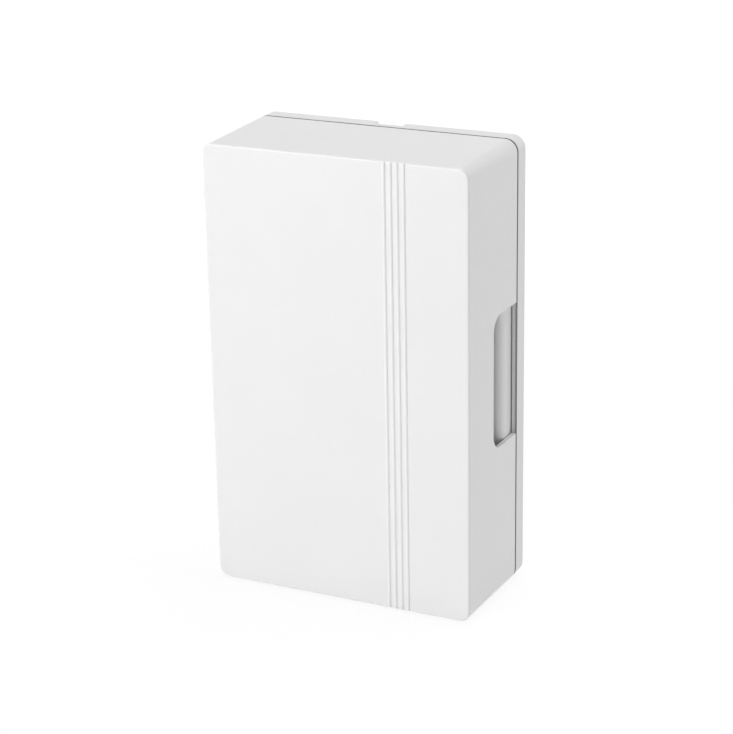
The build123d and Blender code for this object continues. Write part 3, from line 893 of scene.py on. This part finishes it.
@dataclass
class Cover:
    """The deep white cover: a leaning shell with beads, sound slots and snap catches."""

    wall: float = 1.9 * MM
    front_wall: float = 2.2 * MM
    corner_radius: float = 5.25 * MM
    corner_segments: int = 10
    lean: float = 0.9 * MM
    front_edge_radius: float = 0.75 * MM
    front_edge_segments: int = 4
    room_edge_radius: float = 1.0 * MM
    room_edge_segments: int = 3
    eased_edge: float = 0.14 * MM
    overrun: float = 1.0 * MM
    bead_count: int = 4
    bead_pitch: float = 2.75 * MM
    bead_row_across: float = 25.85 * MM
    bead_width: float = 1.5 * MM
    bead_rise: float = 0.4 * MM
    bead_columns: int = 8
    level_digits: int = 6  # levels are told apart to a micrometre
    slot_height: float = 55.7 * MM
    slot_middle: float = -0.3 * MM
    slot_front: float = 30.6 * MM
    slot_corner_radius: float = 6.5 * MM
    slot_corner_segments: int = 12
    catch_across: float = 32.0 * MM
    catch_width: float = 8.0 * MM
    catch_depth: float = 12.0 * MM
    catch_foot: float = 3.6 * MM
    catch_crest: float = 1.2 * MM
    catch_reach: float = 2.9 * MM

    def __post_init__(self) -> None:
        """Read the cover's outside sizes from the frame."""
        low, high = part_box("cover")
        self.width = high.x - low.x
        self.height = high.z - low.z
        self.seam = high.y
        self.front = low.y + self.bead_rise
        self.length = self.seam - self.front

    def open_shell(
        self, name: str, inset: float, length: float, edge: float, rings: int
    ) -> bpy.types.Object:
        """Model a leaning box that is open at the seam.

        Args:
            name: the object's name.
            inset: how far it lies inside the cover's outline at the seam.
            length: how far its front lies from the seam.
            edge: the radius of its front edge.
            rings: how many faces that radius has.

        Returns:
            The open shell, with its faces outward.
        """
        shell = add_sheet(
            name, Vector((0, self.seam, 0)), self.width - 2 * inset, self.height - 2 * inset
        )
        front = self.seam - length
        with editing(shell):
            bpy.ops.mesh.select_all(action="SELECT")
            bpy.ops.mesh.bevel(
                offset=self.corner_radius - inset, segments=self.corner_segments, affect="VERTICES"
            )
            bpy.ops.mesh.select_all(action="SELECT")
            bpy.ops.mesh.inset(thickness=self.lean * length / self.length, depth=length)
            pick(Part.EDGE, lambda middle, _: abs(middle.y - front) < NEAR)
            bpy.ops.mesh.bevel(offset=edge, segments=rings, affect="EDGES")
        return shell

    def shell(self) -> bpy.types.Object:
        """Model the outside and the room inside, and bridge them at the seam.

        Returns:
            The closed shell.
        """
        outside = self.open_shell(
            "cover_shell", 0, self.length, self.front_edge_radius, self.front_edge_segments
        )
        room = self.open_shell(
            "cover_room", self.wall, self.length - self.front_wall, self.room_edge_radius,
            self.room_edge_segments,
        )
        with editing(room):
            bpy.ops.mesh.select_all(action="SELECT")
            bpy.ops.mesh.flip_normals()
        shell = join([outside, room], "cover_shell")
        with editing(shell):
            pick(Part.EDGE, lambda middle, _: abs(middle.y - self.seam) < NEAR)
            bpy.ops.mesh.bridge_edge_loops()
        return shell

    def cut_slots(self, shell: bpy.types.Object) -> None:
        """Cut the round-cornered sound slots through both sides.

        Args:
            shell: the cover's shell.
        """
        side = self.width / 2 + self.overrun
        low = self.slot_middle - self.slot_height / 2
        high = self.slot_middle + self.slot_height / 2
        cutter = add_block(
            "slot_cutter",
            Vector((-side, -self.slot_front, low)),
            Vector((side, self.seam + self.overrun, high)),
        )
        with editing(cutter):
            pick(
                Part.EDGE,
                lambda middle, _: abs(middle.y + self.slot_front) < NEAR and abs(middle.x) < NEAR,
            )
            bpy.ops.mesh.bevel(
                offset=self.slot_corner_radius, segments=self.slot_corner_segments, affect="EDGES"
            )
        carve(shell, cutter, Way.CUT)

    def add_catches(self, shell: bpy.types.Object) -> None:
        """Join the four wedges that bite into the tray's windows.

        Args:
            shell: the cover's shell.
        """
        outer = self.height / 2 - self.wall / 2
        crest = outer + self.wall / 2 - self.catch_reach
        front = -self.catch_depth - self.catch_foot / 2
        back = -self.catch_depth + self.catch_foot / 2
        for across in (-self.catch_across, self.catch_across):
            for end in (-1, 1):
                heights = sorted((end * outer, end * crest))
                low = Vector((across - self.catch_width / 2, front, heights[0]))
                high = Vector((across + self.catch_width / 2, back, heights[1]))
                wedge = add_block("catch", low, high)
                with editing(wedge):
                    pick(Part.FACE, lambda middle, _: abs(middle.z - end * crest) < NEAR)
                    bpy.ops.transform.resize(
                        value=(1, self.catch_crest / self.catch_foot, 1),
                        center_override=(across, -self.catch_depth, end * crest),
                    )
                carve(shell, wedge, Way.ADD)

    def raise_beads(self, shell: bpy.types.Object) -> None:
        """Cut the front into fine upright strips and lift them into rounded beads.

        Args:
            shell: the cover's shell.
        """
        half = self.bead_width / 2
        arc_radius = (half * half + self.bead_rise * self.bead_rise) / (2 * self.bead_rise)
        spread = math.asin(half / arc_radius)
        first = self.bead_row_across - (self.bead_count - 1) * self.bead_pitch / 2
        columns = []
        for number in range(self.bead_count):
            for column in range(self.bead_columns + 1):
                angle = spread * (2 * column / self.bead_columns - 1)
                across = first + number * self.bead_pitch + arc_radius * math.sin(angle)
                columns.append((across, arc_radius * (math.cos(angle) - math.cos(spread))))
        with editing(shell):
            for across, _ in columns:
                self.cut_column(across)
            for across, rise in columns:
                if rise > NEAR:
                    self.lift_column(across, rise)

    def cut_column(self, across: float) -> None:
        """Cut the front and its rounded edge along an upright plane.

        Args:
            across: where the plane stands.
        """
        edge_back = self.front + self.front_edge_radius
        pick(Part.FACE, lambda middle, normal: middle.y < edge_back and normal.y < -NEAR)
        bpy.ops.mesh.bisect(plane_co=(across, 0, 0), plane_no=(1, 0, 0))

    def lift_column(self, across: float, rise: float) -> None:
        """Lift a column's points towards the room, less and less round the front edge.

        Args:
            across: where the column stands.
            rise: how far it is lifted on the flat front.
        """
        reach = self.front_edge_radius
        mesh = bmesh.from_edit_mesh(bpy.context.edit_object.data)
        levels = {
            round(vertex.co.y, self.level_digits)
            for vertex in mesh.verts
            if abs(vertex.co.x - across) < NEAR
            and vertex.co.y < self.front + reach - NEAR
            and vertex.normal.y < 0
        }
        for level in sorted(levels):
            share = 1 - min(1.0, max(0.0, (level - self.front) / reach))
            pick(
                Part.POINT,
                lambda place, _: abs(place.x - across) < NEAR and abs(place.y - level) < NEAR,
            )
            bpy.ops.transform.translate(value=(0, -rise * share, 0))

    def build(self) -> None:
        """Model, ease and dress the cover."""
        shell = self.shell()
        self.cut_slots(shell)
        self.add_catches(shell)
        ease(shell, self.eased_edge)
        self.raise_beads(shell)
        smooth(shell)
        stand_for(shell, Body.COVER, CASE_WHITE, "cover")


@dataclass
class Solenoid:
    """The coil between its yoke's legs, with its plunger and return spring."""

    axis_depth: float = 25.0 * MM
    barrel_radius: float = 5.33 * MM
    tube_sides: int = 96
    wire_radius: float = 0.2 * MM
    wire_sides: int = 8
    wire_pitch: float = 2.08  # in radii of the wire
    winding_crease: float = 40.0
    tape_thickness: float = 0.08 * MM
    tape_margin: float = 2.2 * MM
    spring_wire_radius: float = 0.25 * MM
    spring_wire_sides: int = 12
    spring_crease: float = 60.0
    spring_mean_radius: float = 5.15 * MM
    spring_turns: int = 5
    turn_steps: int = 48

    def axis_point(self, across: float) -> Vector:
        """A point on the plunger's line."""
        return Vector((across, -self.axis_depth, 0))

    def helix(
        self, name: str, start: float, end: float, radius: float, wire: float, turns: int,
        sides: int,
    ) -> bpy.types.Object:
        """Turn a wire's round section along the plunger's line, closed at both ends.

        Args:
            name: the object's name.
            start: where the wire's middle starts along X.
            end: where it ends.
            radius: the radius of its turns.
            wire: the wire's own radius.
            turns: how many turns it has.
            sides: how many sides the wire has.

        Returns:
            The wire.
        """
        coil = add_ring(name, Vector((0, radius, 0)), wire, (0, 0, 0), sides)
        finish_with(
            coil, "SCREW", axis="X", angle=2 * math.pi, iterations=turns,
            steps=self.turn_steps, render_steps=self.turn_steps,
            screw_offset=(end - start) / turns, use_merge_vertices=True,
        )
        coil.data.transform(Matrix.Translation(self.axis_point(start)))
        with editing(coil):
            bpy.ops.mesh.select_mode(type="EDGE")
            bpy.ops.mesh.select_all(action="DESELECT")
            bpy.ops.mesh.select_non_manifold(
                use_wire=False, use_multi_face=False, use_non_contiguous=False, use_verts=False
            )
            bpy.ops.mesh.fill_holes(sides=sides)
            bpy.ops.mesh.select_all(action="SELECT")
            bpy.ops.mesh.normals_make_consistent(inside=False)
        return coil

    def tube(
        self, name: str, start: float, end: float, radius: float, thickness: float
    ) -> bpy.types.Object:
        """Draw a ring along the plunger's line and give it a wall outwards.

        Args:
            name: the object's name.
            start: where the tube starts along X.
            end: where it ends.
            radius: its inner radius.
            thickness: its wall.

        Returns:
            The tube.
        """
        tube = add_ring(name, self.axis_point(start), radius, (0, math.pi / 2, 0), self.tube_sides)
        with editing(tube):
            bpy.ops.mesh.select_all(action="SELECT")
            bpy.ops.mesh.extrude_region_move(TRANSFORM_OT_translate={"value": (end - start, 0, 0)})
            bpy.ops.mesh.select_all(action="SELECT")
            bpy.ops.mesh.normals_make_consistent(inside=False)
        finish_with(tube, "SOLIDIFY", thickness=thickness, offset=1.0)
        return tube

    def build_spring(self) -> None:
        """Model the return spring in round wire."""
        low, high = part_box("return_spring")
        inset = self.spring_wire_radius
        spring = self.helix(
            "return_spring_wire", high.x - inset, low.x + inset, self.spring_mean_radius,
            self.spring_wire_radius, self.spring_turns, self.spring_wire_sides,
        )
        smooth(spring, self.spring_crease)
        dress(spring, SPRING_STEEL)
        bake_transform(spring)
        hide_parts("return_spring")
        faces = len(spring.data.polygons)
        log.info("piece %s: %d faces, between tray and plunger", spring.name, faces)

    def build_winding(self) -> None:
        """Model the winding: its inner layers, its outer layer of wire and its tape."""
        low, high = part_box("coil_winding")
        outer = (high.z - low.z) / 2
        layer = outer - self.tape_thickness - self.wire_radius
        inner = self.tube(
            "coil_inner_layers", low.x, high.x, self.barrel_radius, layer - self.barrel_radius
        )
        turns = int((high.x - low.x - 2 * self.wire_radius) / (self.wire_pitch * self.wire_radius))
        wire = self.helix(
            "coil_outer_layer", low.x + self.wire_radius, high.x - self.wire_radius, layer,
            self.wire_radius, turns, self.wire_sides,
        )
        tape = self.tube(
            "coil_tape", low.x + self.tape_margin, high.x - self.tape_margin,
            outer - self.tape_thickness, self.tape_thickness,
        )
        for piece, finish in ((inner, COIL_COPPER), (wire, COIL_COPPER), (tape, COIL_TAPE)):
            smooth(piece, self.winding_crease)
            stand_for(piece, Body.TRAY, finish, "coil_winding")

    def build(self) -> None:
        """Model the wound pieces."""
        self.build_spring()
        self.build_winding()


@dataclass
class Leads:
    """The two sleeved leads, each bent twice on its way from the coil to its terminal."""

    start: Vector = field(default_factory=lambda: Vector((15.2, -25.0, -11.25)) * MM)
    slant: Vector = field(default_factory=lambda: Vector((-7.6, 13.8, 0)).normalized())
    first_run: float = 5.9 * MM
    first_radius: float = 11.78 * MM
    middle_run: float = 10.17 * MM
    second_radius: float = 17.91 * MM
    last_run: float = 9.03 * MM
    bend: float = 44.735
    bend_steps: int = 14
    sleeve_radius: float = 0.8 * MM
    sleeve_sides: int = 20
    bare_radius: float = 0.45 * MM
    bare_length: float = 5.0 * MM
    end_edge: float = 0.12 * MM
    crease: float = 60.0

    def run(self, way: Vector) -> None:
        """Draw the open end of the sleeve straight on."""
        bpy.ops.mesh.extrude_region_move(TRANSFORM_OT_translate={"value": way})

    def turn(
        self, place: Vector, inward: Vector, radius: float, axis: Vector
    ) -> tuple[Vector, Vector]:
        """Spin the open end of the sleeve round a bend.

        Args:
            place: the middle of the open end.
            inward: the way from it to the middle of the bend.
            radius: the bend's radius.
            axis: the bend's axis.

        Returns:
            The new middle of the end and the new way inwards.
        """
        angle = math.radians(self.bend)
        middle = place + inward * radius
        bpy.ops.mesh.spin(steps=self.bend_steps, angle=-angle, center=middle, axis=axis)
        turned = Matrix.Rotation(angle, 3, axis)
        return middle + turned @ (place - middle), turned @ inward

    def sleeve(self) -> tuple[bpy.types.Object, Vector]:
        """Draw the right lead's sleeve down from the coil.

        Returns:
            The sleeve and the middle of its lower end.
        """
        down = Vector((0, 0, -1))
        axis = down.cross(self.slant)
        sleeve = add_ring(
            "right_lead_sleeve", self.start, self.sleeve_radius, (0, 0, 0), self.sleeve_sides
        )
        with editing(sleeve):
            bpy.ops.mesh.select_all(action="SELECT")
            self.run(down * self.first_run)
            place, inward = self.turn(
                self.start + down * self.first_run, self.slant, self.first_radius, axis
            )
            heading = axis.cross(inward) * -1
            self.run(heading * self.middle_run)
            place, inward = self.turn(
                place + heading * self.middle_run, inward * -1, self.second_radius, axis * -1
            )
            self.run(down * self.last_run)
            bpy.ops.mesh.select_all(action="SELECT")
            bpy.ops.mesh.remove_doubles(threshold=SAME_POINT)
            bpy.ops.mesh.fill_holes(sides=self.sleeve_sides)
            bpy.ops.mesh.select_all(action="SELECT")
            bpy.ops.mesh.normals_make_consistent(inside=False)
        return sleeve, place + down * self.last_run

    def build(self) -> None:
        """Model the right lead, copy it to the left and dress both."""
        sleeve, end = self.sleeve()
        up = Vector((0, 0, 1))
        bare = add_rod(
            "right_lead_wire", end + up * self.bare_radius, end - up * self.bare_length,
            self.bare_radius, self.sleeve_sides,
        )
        for piece in (sleeve, bare):
            ease(piece, self.end_edge, self.crease)
            smooth(piece, self.crease)
        for side, pieces in (
            ("right", (sleeve, bare)),
            ("left", (mirrored(sleeve, "left_lead_sleeve"), mirrored(bare, "left_lead_wire"))),
        ):
            stand_for(pieces[0], Body.TRAY, LEAD_SLEEVE, f"coil_lead_{side}")
            stand_for(pieces[1], Body.TRAY, BARE_COPPER, f"coil_lead_{side}")


EASED = (
    EasedNode("base_tray", "tray_moulding", "tray_plastic", TRAY_WHITE, 0.18 * MM),
    EasedNode("tone_bar_left", "low_tone_bar", "bar_steel", BAR_STEEL, 0.25 * MM, whole=True),
    EasedNode("tone_bar_right", "high_tone_bar", "bar_steel", BAR_STEEL, 0.25 * MM, whole=True),
    EasedNode("bar_bushes", "bar_bush_set", "bush_rubber", BUSH_RUBBER, 0.12 * MM),
    EasedNode("bar_clips", "bar_clip_set", "clip_steel", SPRING_STEEL, 0.08 * MM),
    EasedNode("solenoid_yoke", "yoke_strap", "yoke_steel", SHEET_STEEL, 0.12 * MM),
    EasedNode("yoke_plate", "yoke_cap", "yoke_steel", SHEET_STEEL, 0.12 * MM),
    EasedNode("coil_bobbin", "bobbin_moulding", "bobbin_nylon", NATURAL_NYLON, 0.12 * MM),
    EasedNode("plunger_core", "core_rod", "core_steel", TURNED_STEEL, 0.3 * MM, Body.PLUNGER),
    EasedNode(
        "striker_tip_left", "left_striker", "tip_nylon", WHITE_NYLON, 0.3 * MM, Body.PLUNGER
    ),
    EasedNode(
        "striker_tip_right", "right_striker", "tip_nylon", WHITE_NYLON, 0.3 * MM, Body.PLUNGER
    ),
    EasedNode("yoke_screws", "yoke_screw_set", "screw_steel", SCREW_STEEL, 0.12 * MM),
    EasedNode(
        "terminal_body", "terminal_moulding", "terminal_nylon", TERMINAL_NYLON, 0.15 * MM,
        whole=True,
    ),
    EasedNode("terminal_cages", "terminal_cage_set", "cage_brass", DRAWN_BRASS, 0.1 * MM),
    EasedNode("terminal_screws", "terminal_screw_set", "screw_steel", SCREW_STEEL, 0.1 * MM),
)


@dataclass(frozen=True)
class Lamp:
    """A square soft lamp that points at the box: its place and side in metres, power in watts."""

    name: str
    place: Triple
    side: float
    power: float
    target: Triple = (0, -0.025, 0)

    def hang(self) -> None:
        """Hang the lamp at its place and point it."""
        light = bpy.data.lights.new(self.name, "AREA")
        light.shape = "SQUARE"
        light.size = self.side
        light.energy = self.power
        lamp = bpy.data.objects.new(self.name, light)
        bpy.context.scene.collection.objects.link(lamp)
        lamp.location = self.place
        aim = Vector(self.target) - Vector(self.place)
        lamp.rotation_euler = aim.to_track_quat("-Z", "Y").to_euler()


@dataclass
class Studio:
    """A plain pale floor, soft lamps and the camera at the photograph's place."""

    lamps: tuple[Lamp, ...] = (
        Lamp("front_lamp", (-0.86, -1.81, 0.3), 0.7, 24.3),
        Lamp("left_lamp", (-1.1, -0.3, 0.1), 0.6, 1.0),
        Lamp("top_lamp", (0.1, 0.3, 1.25), 0.9, 8.8),
        Lamp("side_lamp", (1.15, 0.32, 0.06), 0.6, 3.8),
    )
    floor_size: float = 30.0
    ambient: float = 0.3
    box_height: float = 187.0 * MM
    focal_pixels: float = 2225.93
    frame_pixels: float = 734.0
    sensor: float = 36.0
    azimuth: float = 25.993
    elevation: float = 19.621
    roll: float = -1.022
    side_shift: float = -0.0020
    rise_shift: float = -0.0089
    distance: float = 4.8097
    target: Vector = field(default_factory=lambda: Vector((0, -0.14, 0)))

    def add_floor(self) -> None:
        """Lay the floor under the box."""
        bpy.ops.object.select_all(action="DESELECT")
        bpy.ops.mesh.primitive_plane_add(size=self.floor_size, location=(0, 0, CAD_LOW.z))
        floor = settle(bpy.context.active_object, "studio_floor")
        dress(floor, StudioFloor("studio_floor"))

    def add_world(self) -> None:
        """Surround the scene with an even light that the camera sees as white."""
        bench = WorldBench("studio_air")
        air = bench.add("ShaderNodeBackground", {"Color": (1, 1, 1, 1), "Strength": self.ambient})
        white = bench.add("ShaderNodeBackground", {"Color": (1, 1, 1, 1), "Strength": 1.0})
        choice = bench.add("ShaderNodeMixShader")
        bench.join(seen_directly(bench), 0, choice, 0)
        bench.join(air, 0, choice, 1)
        bench.join(white, 0, choice, 2)
        bench.join(choice, 0, bench.output, 0)
        bpy.context.scene.world = bench.world

    def add_camera(self) -> None:
        """Stand the camera where the photograph was taken."""
        turn = math.radians(self.azimuth)
        lift = math.radians(self.elevation)
        roll = math.radians(self.roll)
        back = Vector(
            (math.sin(turn) * math.cos(lift), -math.cos(turn) * math.cos(lift), math.sin(lift))
        )
        level = Vector((math.cos(turn), math.sin(turn), 0))
        upright = level.cross(-back)
        right = math.cos(roll) * level + math.sin(roll) * upright
        up = -math.sin(roll) * level + math.cos(roll) * upright
        shift = back * self.distance + right * self.side_shift + up * self.rise_shift
        place = (self.target + shift) * self.box_height
        data = bpy.data.cameras.new("photo_camera")
        data.sensor_width = self.sensor
        data.lens = self.sensor * self.focal_pixels / self.frame_pixels
        camera = bpy.data.objects.new("photo_camera", data)
        bpy.context.scene.collection.objects.link(camera)
        turned = Matrix((right, up, back)).transposed().to_4x4()
        camera.matrix_world = Matrix.Translation(place) @ turned
        bpy.context.scene.camera = camera

    def build(self) -> None:
        """Set up the whole studio."""
        self.add_floor()
        self.add_world()
        for lamp in self.lamps:
            lamp.hang()
        self.add_camera()
        bpy.context.scene.view_settings.view_transform = "Standard"


def main() -> None:
    """Build the studio and every piece, in order."""
    logging.basicConfig(level=logging.INFO, format="%(message)s")
    Studio().build()
    Cover().build()
    Solenoid().build()
    Leads().build()
    for part in EASED:
        part.build()


if __name__ == "__main__":
    main()
